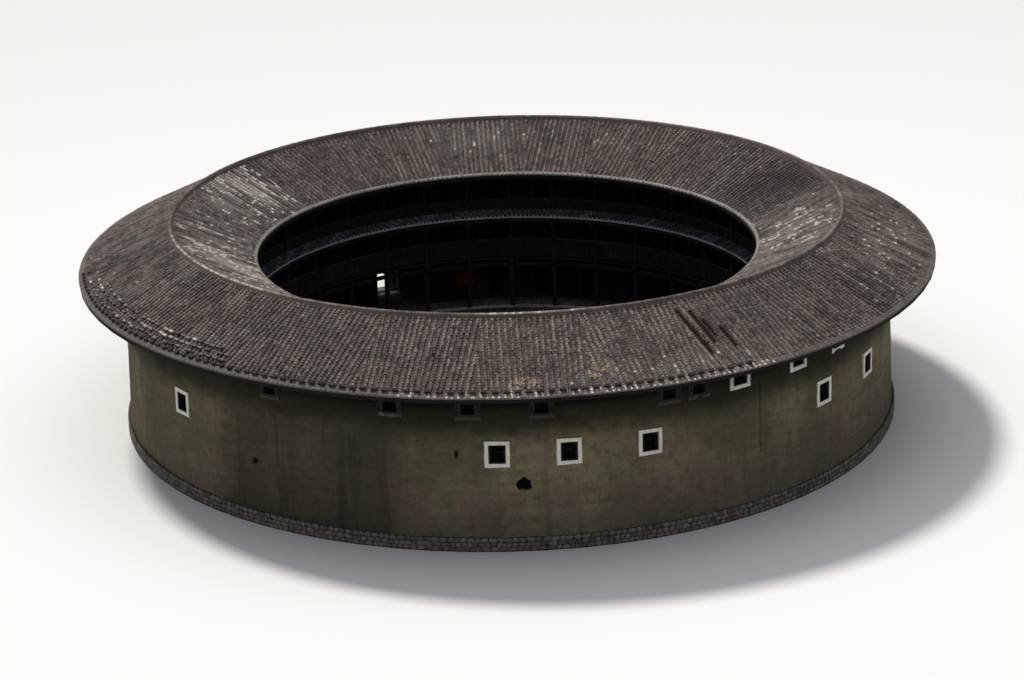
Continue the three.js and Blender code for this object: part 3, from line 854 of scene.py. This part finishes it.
def tile_place(along, side, middle, downhill, row_tone, streak, rng):
    radius = math.hypot(along, side)
    slope = (roof_height(radius + 0.01) - roof_height(radius)) / 0.01
    down = Vector((downhill, 0, downhill * slope * along / radius)).normalized()
    normal = Vector((-slope * along / radius, -slope * side / radius, 1)).normalized()
    across = normal.cross(down)
    turned = Matrix((down, across, down.cross(across))).transposed().to_4x4()
    height = roof_height(radius) + 0.004 + rng.gauss(0, 0.005)
    where = Matrix.Translation((along - downhill * 0.06, side + rng.gauss(0, 0.009), height))
    twist = Matrix.Rotation(rng.gauss(0, 0.07), 4, "Z") @ Matrix.Rotation(rng.gauss(0, 0.02), 4, "Y")
    matrix = Matrix.Rotation(math.radians(middle), 4, "Z") @ where @ turned @ twist
    return matrix, tile_tone(matrix.translation, radius, row_tone, streak, rng), 0


def lay_slope(name, low, high, downhill, parts, seed):
    rng = random.Random(seed)
    groups = [[] for _ in range(parts)]
    for sector in range(SECTORS):
        groups[sector * parts // SECTORS] += sector_tiles(sector, low, high, downhill, rng)
    for number, places in enumerate(groups):
        lay_out(f"{name}_{number + 1}", [COVER], places, cover_tile)


BOARD_SPACING = 0.15


def bare_boards():
    """Short dark boards, laid across each torn row from rafter to rafter."""
    bm = bmesh.new()
    rng = random.Random(13)
    for (sector, row), (low, high) in TORN_ROWS.items():
        turn = Matrix.Rotation(math.radians(SEAM_DEGREES + (sector + 0.5) * SECTOR_DEGREES), 4, "Z")
        count = max(1, round((high - low) / BOARD_SPACING))
        for number in range(count):
            along, side = low + (number + 0.5) * (high - low) / count, row * TILE_PITCH
            height = roof_height(math.hypot(along, side)) + rng.uniform(0.002, 0.016)
            board = Matrix.Translation((along, side, height)) @ Matrix.Rotation(outer_tip, 4, "Y")
            width = rng.uniform(0.15, 0.22)
            twist = Matrix.Rotation(rng.gauss(0, 0.03), 4, "Z")
            add_box(bm, turn @ board @ twist, BOARD_SPACING - 0.015, width, 0.02)
    return mesh_of(bm)


lay_slope("outer_tiles", EAVE_RADIUS - 0.05, RIDGE_RADIUS, 1, 2, 11)
lay_slope("inner_tiles", INNER_EAVE_RADIUS + 0.05, RIDGE_RADIUS, -1, 2, 12)
add_piece("bare_boards", bare_boards(), bare_timber)

# %% [markdown]
# ## Ridge, eaves and the skirt roof
# A line of cover tiles, bedded in lime, runs along the top of the ridge. Some stretches are freshly limed and
# pale, and others have darkened like the roof. Along both eaves a strip of lime closes the ends of the tiles.
# The inner one has stayed pale, and the outer one is worn except in front. A strip is a four-sided profile that
# is spun right round, and the rest are single pieces laid at an even spacing and left a little uneven.

# %% Ridge and eaves
BRICK_SPACING, BRICK_RADIUS = 0.46, 19.58
UPPER_BRICK_ROWS = [(19.3, 183, 229, 32), (19.02, 186, 228, 33), (18.74, 192, 226, 37)]
OUTER_EDGE = [(19.60, 7.655), (19.812, 7.54), (19.812, 7.475), (19.60, 7.58)]
INNER_EDGE = [(11.73, 7.83), (11.60, 7.755), (11.60, 7.69), (11.73, 7.76)]
WORN_LIME_TONE = 0.45
PALE_RIDGE = [(205, 44, 1.0), (267, 8, 1.3), (276, 2, 0.9), (160, 16, 0.5), (335, 12, 0.3), (60, 30, 0.2)]


def ring_places(radius, height, spacing, seed, start=0.0, end=360.0, tip=0.0, jitter=0.0, turn=0.0):
    """Places round the house at an even spacing, each a little out of line."""
    rng = random.Random(seed)
    count = max(1, round(math.radians(end - start) * radius / spacing))
    places = []
    for number in range(count):
        degrees = start + (number + 0.5) * (end - start) / count
        matrix = at(
            radius + rng.gauss(0, jitter),
            degrees,
            height + rng.gauss(0, jitter * 0.3),
            turn=turn + rng.gauss(0, jitter * 2),
            tip=tip + rng.gauss(0, jitter),
        )
        places.append((matrix, rng.random(), 0))
    return places


def ridge_crest():
    """Cover tiles along the ridge, paler where the lime is fresh."""
    rng = random.Random(21)
    places = []
    for matrix, _, kind in ring_places(RIDGE_RADIUS, ridge_top - 0.025, 0.155, 22, turn=math.pi / 2, jitter=0.006):
        degrees = angle_of(matrix.translation)
        pale = max(
            share * max(0, 1 - degrees_between(degrees, middle) / reach) for middle, reach, share in PALE_RIDGE
        )
        tone = 0.15 + min(1, pale * 1.5) * 0.75 + rng.uniform(-0.3, 0.15)
        places.append((matrix, min(1, max(0, tone)), kind))
    return places


def in_order(part):
    """A number made from the vertices of an edge or face. A spin lists them in another order each run."""
    key = 0.0
    for index in sorted(vertex.index for vertex in part.verts):
        key = key * 10000 + index
    return key


def spun(profile, steps):
    """A closed ring made by turning a small profile of (radius, height) points round the axis."""
    bm = bmesh.new()
    points = [bm.verts.new((radius, 0, height)) for radius, height in profile]
    edges = [bm.edges.new((points[i - 1], points[i])) for i in range(len(points))]
    around = {"axis": (0, 0, 1), "cent": (0, 0, 0), "angle": math.tau}
    bmesh.ops.spin(bm, geom=points + edges, **around, steps=steps, use_merge=True)
    bmesh.ops.remove_doubles(bm, verts=bm.verts, dist=0.0001)
    bm.verts.index_update()
    bm.edges.sort(key=in_order)
    bm.faces.sort(key=in_order)
    return bm


def spun_strip(name, profile, steps, finish):
    bm = spun(profile, steps)
    for vertex in bm.verts:
        vertex.co.z += 0.012 * noise.noise(vertex.co * 1.3)
    return add_piece(name, mesh_of(bm), finish)


ridge_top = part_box("roof_ridge")[1].z
lay_out("ridge_tiles", [COVER], ridge_crest(), ridge_tile)
spun_strip("outer_eave_edge", OUTER_EDGE, 216, eave_lime)
spun_strip("inner_eave_edge", INNER_EDGE, 180, inner_lime)

# %% [markdown]
# A row of loose bricks along the left and front of the outer eave keeps a storm from lifting the tiles, and on
# the left three shorter, more scattered rows lie above it. The eave bricks are coloured nearly black, and the upper
# ones from nearly black to pale, as painted shadow for the shade that each brick casts. Each tile row ends in a
# lump of lime.

# %% Bricks and lumps of lime
brick_height = roof_height(BRICK_RADIUS) + 0.115
bricks = ring_places(BRICK_RADIUS, brick_height, BRICK_SPACING, 31, 183, 297, tip=outer_tip, jitter=0.012)
lay_out("eave_bricks", [box_mesh(0.12, 0.26, 0.12, 0.01)], bricks, loose_brick)
upper_rows = []
for radius, start, end, seed in UPPER_BRICK_ROWS:
    height = roof_height(radius) + 0.1
    upper_rows += ring_places(radius, height, 0.4, seed, start, end, tip=outer_tip, jitter=0.03)
kept = random.Random(36)
upper_rows = [(matrix, tone * tone, kind) for matrix, tone, kind in upper_rows if kept.random() < 0.85]
lay_out("upper_bricks", [box_mesh(0.12, 0.29, 0.09, 0.01)], upper_rows, row_brick)
plug_mesh = box_mesh(0.05, 0.13, 0.075, 0.03)
outer_plugs = []
for matrix, tone, kind in ring_places(
    EAVE_RADIUS - 0.05, EAVE_HEIGHT + 0.05, TILE_PITCH, 34, tip=outer_tip, jitter=0.006
):
    lime_left = 1 if freshly_limed(angle_of(matrix.translation)) else WORN_LIME_TONE
    outer_plugs.append((matrix, tone * lime_left, kind))
lay_out("outer_eave_plugs", [plug_mesh], outer_plugs, eave_lime)
inner_plugs = ring_places(
    INNER_EAVE_RADIUS + 0.05, INNER_EAVE_HEIGHT + 0.05, TILE_PITCH, 35, tip=inner_tip, jitter=0.004
)
lay_out("inner_eave_plugs", [plug_mesh], inner_plugs, inner_lime)

# %% [markdown]
# The skirt roof is a narrow shelter over the lower gallery. Its tiles are the same as the big roof's, but three
# of them reach from its edge to its back, so they are laid as three rings, each turned to face the court. Their
# finish, and the lime of its edge, are tinted blue as a painted reflection of the sky, and the tiles are darkened
# as painted shade.

# %% Skirt roof tiles
SKIRT_COURSES, SKIRT_COURSE_STEP = 3, 0.14
SKIRT_EDGE = [(12.05, 0.06), (11.955, 0.012), (11.955, -0.06), (12.05, -0.012)]


def skirt_height(radius):
    return skirt_high.z - (SKIRT_OUTER_RADIUS - radius) * SKIRT_PITCH


skirt_places = []
for course in range(SKIRT_COURSES):
    radius = SKIRT_INNER_RADIUS + 0.09 + course * SKIRT_COURSE_STEP
    ring = ring_places(radius, skirt_height(radius) + 0.01, 0.22, 40, tip=-math.atan(SKIRT_PITCH), jitter=0.004)
    skirt_places += [(matrix @ Matrix.Rotation(math.pi, 4, "Z"), tone, kind) for matrix, tone, kind in ring]
lay_out("skirt_tiles", [COVER], skirt_places, skirt_tile)
skirt_foot = skirt_height(SKIRT_INNER_RADIUS)
skirt_profile = [(radius, skirt_foot + height) for radius, height in SKIRT_EDGE]
spun_strip("skirt_eave_edge", skirt_profile, 180, worn_lime)

# %% [markdown]
# ## The earth wall
# A wall beaten between shutters is never quite even. One closed ring profile is spun into the whole wall, with
# enough rows and columns to be pushed in and out by noise, and the windows, the gate and the old holes are cut
# through it by a boolean, so that their reveals are as deep as the wall.

# %% Spin the wall
WALL_STEPS, WALL_ROWS = 288, 22
WALL_MIDDLE = 17.3
SHOWN_UPPER = {230.8: 0.15, 249.4: 0.53, 260.1: 0.3, 270: 0, 287.8: 0.05, 292.4: 0.5, 299.1: 0.9, 310.1: 1, 319.7: 1}
SHOWN_LOWER = {212.1: 0.95, 263.9: 1, 273.6: 1, 284.9: 1, 315.8: 1, 329.3: 1}
SHOWN_FROM, SHOWN_TO = 195, 345
WINDOW_WIDTH, WINDOW_HEIGHT = 0.68, 0.8
LOWER_SILL, UPPER_SILL = 3.9, 6.0
GATE_WIDTH, GATE_TOP = 2.3006, 3.3003
BEAM_WIDTH, BEAM_DEPTH, BEAM_HEIGHT = 0.1406, 0.2006, 7.25


def window_places():
    """The angle, sill and share of lime left of every window. They stand as the CAD wall has them."""
    rng = random.Random(60)
    places = [(degrees, UPPER_SILL, left) for degrees, left in SHOWN_UPPER.items()]
    places += [(degrees, LOWER_SILL, left) for degrees, left in SHOWN_LOWER.items()]
    for degrees in range(0, 360, int(BAY_DEGREES)):
        if not SHOWN_FROM <= degrees <= SHOWN_TO:
            places.append((degrees, UPPER_SILL, rng.uniform(0.4, 1)))
            if degrees % 20 == 0:
                places.append((degrees, LOWER_SILL, rng.uniform(0.8, 1)))
    return places


def ring_of_wall():
    """The whole wall in one ring, its outer face pushed in and out a little."""
    foot = PLINTH_TOP + SEAM
    inner_top = roof_height(WALL_INNER_RADIUS) - ROOF_THICKNESS - SEAM
    heights = [foot + (WALL_TOP - SEAM - foot) * row / WALL_ROWS for row in range(WALL_ROWS + 1)]
    outer_face = [(wall_radius(height), height) for height in heights]
    bm = spun([(WALL_INNER_RADIUS, foot), *outer_face, (WALL_INNER_RADIUS, inner_top)], WALL_STEPS)
    bmesh.ops.recalc_face_normals(bm, faces=bm.faces)
    for vertex in bm.verts:
        radius = math.hypot(vertex.co.x, vertex.co.y)
        if radius > WALL_INNER_RADIUS + 0.3 and PLINTH_TOP + 0.2 < vertex.co.z < WALL_TOP - 0.1:
            uneven = noise.noise(vertex.co * 0.35) * 0.03 + noise.noise(vertex.co * 1.4) * 0.012
            vertex.co.xy *= 1 + uneven / radius
    return bm


def cutters():
    """Every hole in the wall, as closed bodies that don't touch each other."""
    bm = bmesh.new()
    for degrees, sill, _ in window_places():
        add_box(bm, at(WALL_MIDDLE, degrees, sill + WINDOW_HEIGHT / 2), 2.4, WINDOW_WIDTH, WINDOW_HEIGHT)
    add_box(bm, at(WALL_MIDDLE, GATE_DEGREES, GATE_TOP / 2), 3, GATE_WIDTH, GATE_TOP)
    for bay in range(BAYS):
        beam = at(WALL_MIDDLE, FIRST_BAY_LINE + bay * BAY_DEGREES, BEAM_HEIGHT)
        add_box(bm, beam, 2.4, BEAM_WIDTH, BEAM_DEPTH)
    return bm


OLD_HOLES = [(227.7, 2.85, 0.17, 1.0), (258.4, 4.29, 0.1, 2.2), (267.5, 2.93, 0.32, 0.95), (131, 3.1, 0.15, 1.0)]
CRACK_DEGREES = 302.45


def old_damage():
    """Holes where scaffold poles were, one of them broken wide, and a crack that runs down the wall."""
    bm = bmesh.new()
    rng = random.Random(51)
    for degrees, height, reach, tall in OLD_HOLES:
        made = bmesh.ops.create_icosphere(bm, subdivisions=3, radius=reach)
        for vertex in made["verts"]:
            vertex.co *= 1 + 0.4 * noise.noise(vertex.co * (1.6 / reach) + Vector((degrees, 0, 0)))
        hole = at(wall_radius(height), degrees, height, size=(1.6, 1.0, tall))
        bmesh.ops.transform(bm, matrix=hole, verts=made["verts"])
    for step in range(9):
        height = 2.9 + step * 0.34
        degrees = CRACK_DEGREES + rng.uniform(-0.06, 0.06)
        lean = rng.uniform(-0.12, 0.12)
        add_box(bm, at(wall_radius(height) + 0.05, degrees, height, math.pi / 4, lean=lean), 0.16, 0.16, 0.35)
    return bm


def cut_away(bm, tools):
    """The first body less the others, by exact booleans."""
    body = new_object("body", mesh_of(bm, smooth=True))
    holders = []
    for number, tool in enumerate(tools):
        holders.append(new_object(f"tool_{number}", mesh_of(tool)))
        modifier = body.modifiers.new("cut", "BOOLEAN")
        modifier.operation = "DIFFERENCE"
        modifier.solver = "EXACT"
        modifier.use_self = number > 0
        modifier.object = holders[-1]
    mesh = baked(body)
    for used in [body, *holders]:
        bpy.data.objects.remove(used)
    return mesh


wall = add_piece("earth_wall", cut_away(ring_of_wall(), [cutters(), old_damage()]), earth)
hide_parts(*[name for name in frame["nodes"] if name.startswith("earth_wall_")])

# %% [markdown]
# ## Windows
# Each opening has a broad band of lime on the wall's face, a wooden lining in its reveal, and a wooden frame with
# upright bars set back in the wall. All three are hollow rectangles: a box whose front and back are inset, and whose
# two holes are bridged into one tunnel.


# %% Window parts
def hollow_frame(depth, width, height, border, wobble=0.0):
    """A closed rectangular ring. Its outer size is width by height and it runs depth along X."""
    bm = bmesh.new()
    add_box(bm, Matrix(), depth, width, height)
    ends = [face for face in bm.faces if abs(face.normal.x) > 0.9]
    bmesh.ops.inset_individual(bm, faces=ends, thickness=border, use_even_offset=True)
    rims = [edge for face in ends for edge in face.edges]
    bmesh.ops.delete(bm, geom=ends, context="FACES_ONLY")
    bmesh.ops.bridge_loops(bm, edges=rims)
    if wobble:
        longest = [edge for edge in bm.edges if edge.calc_length() > 0.4]
        bmesh.ops.subdivide_edges(bm, edges=longest, cuts=4, use_grid_fill=True)
        for vertex in bm.verts:
            if max(abs(vertex.co.y) - (width / 2 - 0.01), abs(vertex.co.z) - (height / 2 - 0.01)) > 0:
                where = vertex.co * 5
                vertex.co.yz += Vector((noise.noise(where), noise.noise(where + Vector((9, 9, 9))))) * wobble
    return mesh_of(bm)


def barred_frame(width, height):
    """A wooden frame with upright bars and a rail across them."""
    bm = bmesh.new()
    bm.from_mesh(hollow_frame(0.08, width, height, 0.055))
    for number in range(4):
        side = (number - 1.5) * (width - 0.11) / 4
        add_box(bm, Matrix.Translation((0, side, 0)), 0.03, 0.035, height - 0.1)
    add_box(bm, Matrix.Translation((-0.03, 0, 0.02)), 0.02, width - 0.1, 0.045)
    return mesh_of(bm)


def window_layout(inset, seed):
    """One place in each window, set so far back from the wall's face, with one of three kinds of piece."""
    rng = random.Random(seed)
    places = []
    for degrees, sill, left in window_places():
        middle = sill + WINDOW_HEIGHT / 2
        places.append((at(wall_radius(middle) - inset, degrees, middle), left, rng.randrange(3)))
    return places


bands = [hollow_frame(0.09, 1.04 + 0.02 * n, 1.14 + 0.02 * n, 0.155 + 0.01 * n, 0.02) for n in range(3)]
lay_out("window_bands", bands, window_layout(0.015, 61), lime)
surround = hollow_frame(0.12, WINDOW_WIDTH + 0.06, WINDOW_HEIGHT + 0.06, 0.07)
lay_out("window_surrounds", [surround] * 3, window_layout(0.04, 62), worn_timber)
bars = barred_frame(WINDOW_WIDTH - 0.06, WINDOW_HEIGHT - 0.06)
lay_out("window_bars", [bars] * 3, window_layout(0.2, 63), dark_timber)

# %% [markdown]
# ## Plinth and floors
# The foot of the wall is built of river cobbles, laid in rough courses and pointed with lime. A handful of
# stones, each an icosphere squashed and dented by noise, is repeated with every turn and size.

# %% Stones
STONE_KINDS, STONE_DEPTH = 5, 0.13
LOWEST_COURSE = 0.114


def cobble_mesh(seed):
    bm = bmesh.new()
    bmesh.ops.create_icosphere(bm, subdivisions=2, radius=0.5)
    for vertex in bm.verts:
        vertex.co *= 1 + 0.22 * noise.noise(vertex.co * 2.1 + Vector((seed * 7.3, 0, 0)))
    for axis in range(3):
        for vertex in bm.verts:
            vertex.co[axis] = max(-0.4, min(0.4, vertex.co[axis]))
    return mesh_of(bm, smooth=True)


def plinth_stones():
    rng = random.Random(71)
    places = []
    height = LOWEST_COURSE
    while height < PLINTH_TOP - 0.04:
        course = rng.uniform(0.17, 0.22)
        degrees = rng.uniform(0, 1)
        while degrees < 360:
            wide = rng.uniform(0.2, 0.42)
            degrees += math.degrees(wide / 2 / PLINTH_RADIUS)
            if abs(degrees - GATE_DEGREES) > 4.2:
                size = (STONE_DEPTH, wide * 1.12, course * 1.18)
                stone = at(PLINTH_RADIUS - 0.035, degrees, height, lean=rng.gauss(0, 0.07), size=size)
                places.append((stone, rng.random(), rng.randrange(STONE_KINDS)))
            degrees += math.degrees(wide / 2 / PLINTH_RADIUS)
        height += course
    return places


stones = [cobble_mesh(seed) for seed in range(STONE_KINDS)]
lay_out("plinth_stones", stones, plinth_stones(), cobble)

court_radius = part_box("courtyard_floor")[1].x
walkway_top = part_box("ground_walkway")[1].z
kerb_places = ring_places(court_radius + 0.2, walkway_top - 0.035, 0.8, 72, jitter=0.006)
lay_out("walkway_kerb", [box_mesh(0.36, 0.78, 0.12, 0.015)], kerb_places, cut_stone)

# %% [markdown]
# ## Galleries
# Between the posts each gallery is closed to waist height by upright boards under a handrail, and doors of
# planks close most of the rooms.

# %% Gallery joinery
floors = {"ground": walkway_top, "second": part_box("second_floor")[1].z, "third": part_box("third_floor")[1].z}
RAIL_TOP, RAIL_FOOT = 0.95, 0.08
RAIL_BOARDS, RAIL_BOARD_PITCH = 9, 0.22
DOOR_WIDTH, DOOR_SIDE = 0.8, -0.35
DOOR_HEIGHTS = {"ground": 2.0, "second": 1.7, "third": 1.75}
FRONT_RADIUS = 13.95


def chord_at(radius, degrees, height, side, **turns):
    """A place beside the middle of a bay, on the straight line between two posts."""
    flat = radius * math.cos(math.radians(BAY_DEGREES / 2))
    return at(flat, degrees, height, **turns) @ Matrix.Translation((0, side, 0))


def bays_of(*storeys):
    """Every bay of some storeys, as its storey and the angle of its middle."""
    return [(storey, bay * BAY_DEGREES) for storey in storeys for bay in range(BAYS)]


def gallery_boards():
    rng = random.Random(81)
    places = []
    for storey, degrees in bays_of("second", "third"):
        for number in range(RAIL_BOARDS):
            side = (number - RAIL_BOARDS // 2) * RAIL_BOARD_PITCH + rng.gauss(0, 0.004)
            place = chord_at(POST_RADIUS, degrees, floors[storey] + (RAIL_TOP + RAIL_FOOT) / 2, side)
            places.append((place @ Matrix.Translation((-0.045, 0, 0)), rng.random(), 0))
    return places


handrails = [
    (chord_at(POST_RADIUS, degrees, floors[storey] + RAIL_TOP + 0.035, 0), 0.5, 0)
    for storey, degrees in bays_of("second", "third")
]
lay_out("gallery_boards", [box_mesh(0.02, 0.19, 0.85, 0.004)], gallery_boards(), dark_timber)
lay_out("gallery_handrails", [box_mesh(0.13, 2.02, 0.07, 0.01)], handrails, worn_timber)

# %% [markdown]
# Each room has one doorway off the middle of its bay, with a frame of its own. The plank leaf opens inwards and
# stands ajar, more or less from room to room. Battens cover the joints between the boards of each front, and
# short boards close the space between the joists above it.

# %% Doors and fronts
DOORS_OPEN = (62, 78, 95)
BATTEN_PITCH = 0.3114


def door(height, open_degrees):
    """A frame in the doorway and a plank leaf that turns on its far post into the room."""
    bm = bmesh.new()
    bm.from_mesh(hollow_frame(0.1, DOOR_WIDTH - 0.002, height - 0.002, 0.06))
    leaf = bmesh.new()
    for number in range(4):
        add_box(leaf, Matrix.Translation((0, 0.085 + 0.165 * number, 0)), 0.035, 0.16, height - 0.14)
    for level in (-0.3, 0.3):
        add_box(leaf, Matrix.Translation((0.03, 0.33, level * height)), 0.03, 0.6, 0.09)
    hinge = Matrix.Translation((0.05, 0.06 - DOOR_WIDTH / 2, 0))
    swing = hinge @ Matrix.Rotation(math.radians(-open_degrees), 4, "Z")
    bmesh.ops.transform(leaf, matrix=swing, verts=leaf.verts)
    bm.from_mesh(mesh_of(leaf))
    return mesh_of(bm)


def has_hall(storey, degrees):
    """The bay behind the gate is an open hall on the ground storey."""
    return storey == "ground" and degrees == GATE_DEGREES


def door_places(storey):
    rng = random.Random(len(storey))
    height = floors[storey] + DOOR_HEIGHTS[storey] / 2 + 0.001
    return [
        (chord_at(FRONT_RADIUS, degrees, height, DOOR_SIDE), 0.5, rng.randrange(len(DOORS_OPEN)))
        for _, degrees in bays_of(storey)
        if not has_hall(storey, degrees)
    ]


def batten_places(storey, head):
    """Upright battens on the court side of a front, clear of its doorway."""
    sides = [-1.09 + number * BATTEN_PITCH for number in range(8)]
    clear = [side for side in sides if abs(side - DOOR_SIDE) > DOOR_WIDTH / 2 + 0.03]
    return [
        (chord_at(FRONT_RADIUS - 0.036, degrees, (floors[storey] + head) / 2, side), 0.5, 0)
        for _, degrees in bays_of(storey)
        for side in clear
        if not has_hall(storey, degrees)
    ]


heads = {"ground": 2.8, "second": 4.93, "third": 7.15}
for storey, finish in (("ground", front_timber), ("second", dark_timber), ("third", dark_timber)):
    leaves = [door(DOOR_HEIGHTS[storey], opened) for opened in DOORS_OPEN]
    lay_out(f"{storey}_doors", leaves, door_places(storey), finish)
    batten = box_mesh(0.012, 0.05, heads[storey] - floors[storey] - 0.02, 0.003)
    lay_out(f"{storey}_battens", [batten], batten_places(storey, heads[storey]), worn_timber)

closers = [
    (chord_at(FRONT_RADIUS, bay * BAY_DEGREES, heads[storey] + 0.1, 0), 0.5, 0)
    for bay in range(BAYS)
    for storey in ("ground", "second")
]
lay_out("joist_boards", [box_mesh(0.05, 2.24, 0.19, 0.004)], closers, dark_timber)

# %% [markdown]
# ## Rafters under the eaves
# Seen from below, each eave rests on close rafters that run straight down the slope.

# %% Rafters
RAFTER_SPACING, RAFTER_DEPTH = 0.62, 0.08


def rafters(name, foot, head, tip, seed):
    """Rafters between two radii, tipped as the roof above them is."""
    middle = (foot + head) / 2
    height = roof_height(middle) - ROOF_THICKNESS - RAFTER_DEPTH / 2 - 0.002
    rafter = box_mesh(abs(head - foot) / math.cos(tip), 0.08, RAFTER_DEPTH, 0.006)
    lay_out(name, [rafter], ring_places(middle, height, RAFTER_SPACING, seed, tip=tip), worn_timber)


rafters("outer_rafters", EAVE_RADIUS - 0.08, WALL_HEAD_RADIUS + 0.05, outer_tip, 91)
rafters("inner_rafters", INNER_EAVE_RADIUS + 0.08, 13.6, inner_tip, 92)

# %% [markdown]
# ## Floor and light
# The house stands on a plain pale floor under soft light. A high, wide sun from behind the left side models the
# tiles and leaves the front wall in shade, as the midday sun does, and a pale sky fills the shadows.

# %% Floor and light
floor_bm = bmesh.new()
bmesh.ops.create_grid(floor_bm, x_segments=1, y_segments=1, size=400)
floor = new_object("floor", mesh_of(floor_bm))
pale = Finish("pale_floor", 0.9)
pale.put("Base Color", (0.62, 0.61, 0.59))
floor.data.materials.append(pale.material)
floor.location.z = -0.005


def add_light(kind, name, energy, colour):
    light = bpy.data.lights.new(name, kind)
    light.energy, light.color = energy, colour
    return new_object(name, light)


SUN_DEGREES = 120
SUN_RISE = math.radians(58)
sun = add_light("SUN", "sun", 3.6, (1.0, 0.97, 0.93))
sun.data.angle = math.radians(9)
sun.rotation_euler = on_circle(math.cos(SUN_RISE), SUN_DEGREES, math.sin(SUN_RISE)).to_track_quat("Z", "Y").to_euler()
sky_panel = add_light("AREA", "sky_panel", 26000, (0.88, 0.94, 1.0))
sky_panel.data.size = 90
sky_panel.location.z = 75

world = bpy.data.worlds.new("sky")
bpy.context.scene.world = world
world.use_nodes = True
sky = world.node_tree.nodes["Background"].inputs
sky["Color"].default_value = (0.90, 0.94, 1.0, 1)
sky["Strength"].default_value = 0.42
bpy.context.scene.view_settings.view_transform = "Standard"
